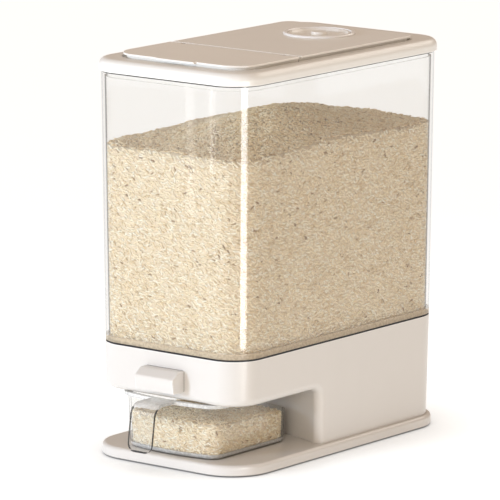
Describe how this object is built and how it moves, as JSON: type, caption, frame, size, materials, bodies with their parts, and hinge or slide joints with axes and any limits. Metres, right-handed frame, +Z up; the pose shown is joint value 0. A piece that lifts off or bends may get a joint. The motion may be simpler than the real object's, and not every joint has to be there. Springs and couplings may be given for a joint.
{
  "type": "rice dispenser",
  "caption": "Tall clear grain bin on a moulded base with a push-button shutter gate over a pull-out cup, and a lid with a hinged filling flap and a dial.",
  "frame": {"origin": "on the floor, below the middle of the bin", "axes": "+Z up, -Y towards the front with the button, +X towards the right as seen from the front"},
  "size_m": [0.182, 0.3476, 0.3723],
  "materials": {
    "white_plastic": "satin moulded white",
    "clear_plastic": "clear polished",
    "black_rubber": "matt",
    "grey_rubber": "matt",
    "steel": "bright zinc"
  },
  "bodies": {
    "base": {"foot_plate": "white_plastic", "foot_pads": "grey_rubber", "foot_screws": "steel", "base_housing": "white_plastic", "funnel_tray": "white_plastic", "wiper_seal": "grey_rubber", "bin_seal": "black_rubber", "grain_bin": "clear_plastic", "gate_guide_left": "white_plastic", "gate_guide_right": "white_plastic", "guide_screws": "steel", "return_spring_left": "steel", "return_spring_right": "steel"},
    "gate": {"button_cap": "white_plastic", "button_yoke": "white_plastic", "yoke_screws": "steel", "shutter_gate": "white_plastic"},
    "cup": {"measuring_cup": "clear_plastic"},
    "lid": {"lid_frame": "white_plastic", "lid_seal": "black_rubber", "rear_panel": "white_plastic", "dial_bezel": "white_plastic", "desiccant_box": "white_plastic", "desiccant_cover": "white_plastic", "hinge_pin_left": "steel", "hinge_pin_right": "steel"},
    "flap": {"fill_flap": "white_plastic", "flap_gasket": "grey_rubber"},
    "dial": {"dial_disc": "white_plastic", "dial_clip": "white_plastic"}
  },
  "joints": [
    {"name": "button_press", "type": "slide", "parent": "base", "child": "gate", "axis": [0, 1, 0], "range_m": [0, 0.011], "stiffness_N_per_m": 400, "deforming": ["return_spring_left", "return_spring_right"]},
    {"name": "cup_slide", "type": "slide", "parent": "base", "child": "cup", "axis": [0, -1, 0], "range_m": [0, 0.13]},
    {"name": "lid_lift", "type": "slide", "parent": "base", "child": "lid", "axis": [0, 0, 1], "range_m": [0, 0.05]},
    {"name": "flap_hinge", "type": "hinge", "parent": "lid", "child": "flap", "pos_m": [0, -0.05305, 0.36765], "axis": [-1, 0, 0], "range_deg": [0, 100]},
    {"name": "dial_turn", "type": "hinge", "parent": "lid", "child": "dial", "pos_m": [0, 0.074, 0.3665], "axis": [0, 0, 1], "continuous": true}
  ]
}
